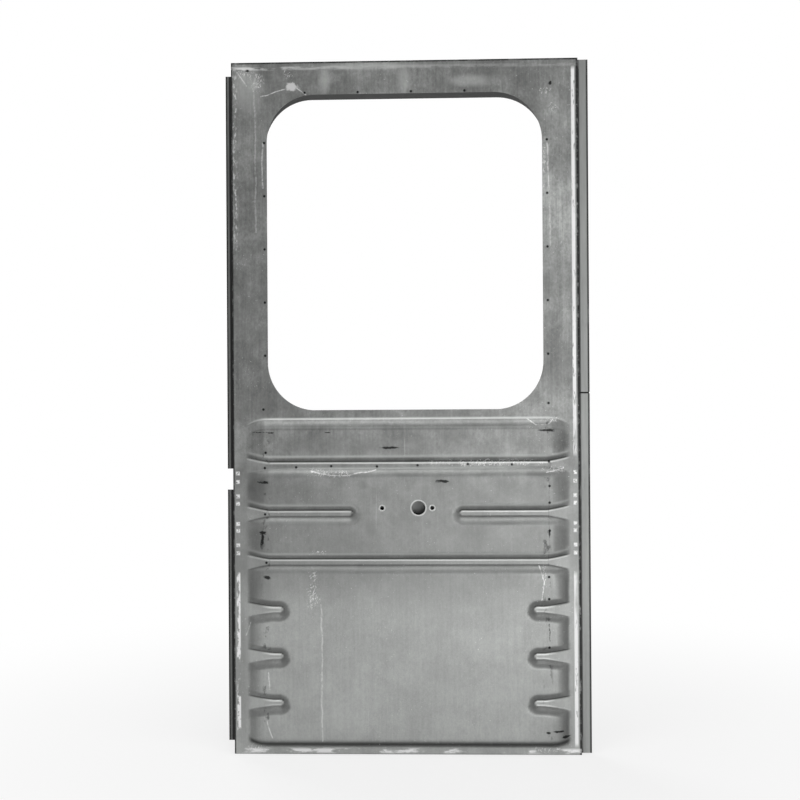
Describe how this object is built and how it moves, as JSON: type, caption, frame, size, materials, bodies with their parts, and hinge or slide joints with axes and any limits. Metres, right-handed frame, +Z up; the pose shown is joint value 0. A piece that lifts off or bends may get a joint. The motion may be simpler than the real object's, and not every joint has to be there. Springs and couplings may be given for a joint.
{
  "type": "van rear door shell",
  "caption": "Bare pressed-steel van rear door shell: ribbed lower panel, round-cornered window aperture, lock holes, edge lips and a welded inner frame.",
  "frame": {"origin": "on the flat outer face of the hinge stile's web, at mid-height and mid-depth of the frame", "axes": "+Z up the door, +X from the hinge edge to the lock edge, +Y from the outer face to the inside"},
  "size_m": [0.6865, 0.0502, 1.3],
  "materials": {
    "skin_steel": "satin",
    "frame_steel": "satin",
    "lip_steel": "satin",
    "seal_steel": "satin"
  },
  "bodies": {
    "root": {"outer_skin": "skin_steel", "hinge_stile": "frame_steel", "lock_stile": "frame_steel", "top_rail": "frame_steel", "bottom_rail": "frame_steel", "waist_rail": "frame_steel", "window_surround": "frame_steel", "lock_plate": "frame_steel", "inner_panel": "frame_steel", "overlap_lip_upper": "lip_steel", "overlap_lip_lower": "lip_steel", "hinge_seal_strip_upper": "seal_steel", "hinge_seal_strip_lower": "seal_steel"}
  },
  "joints": []
}
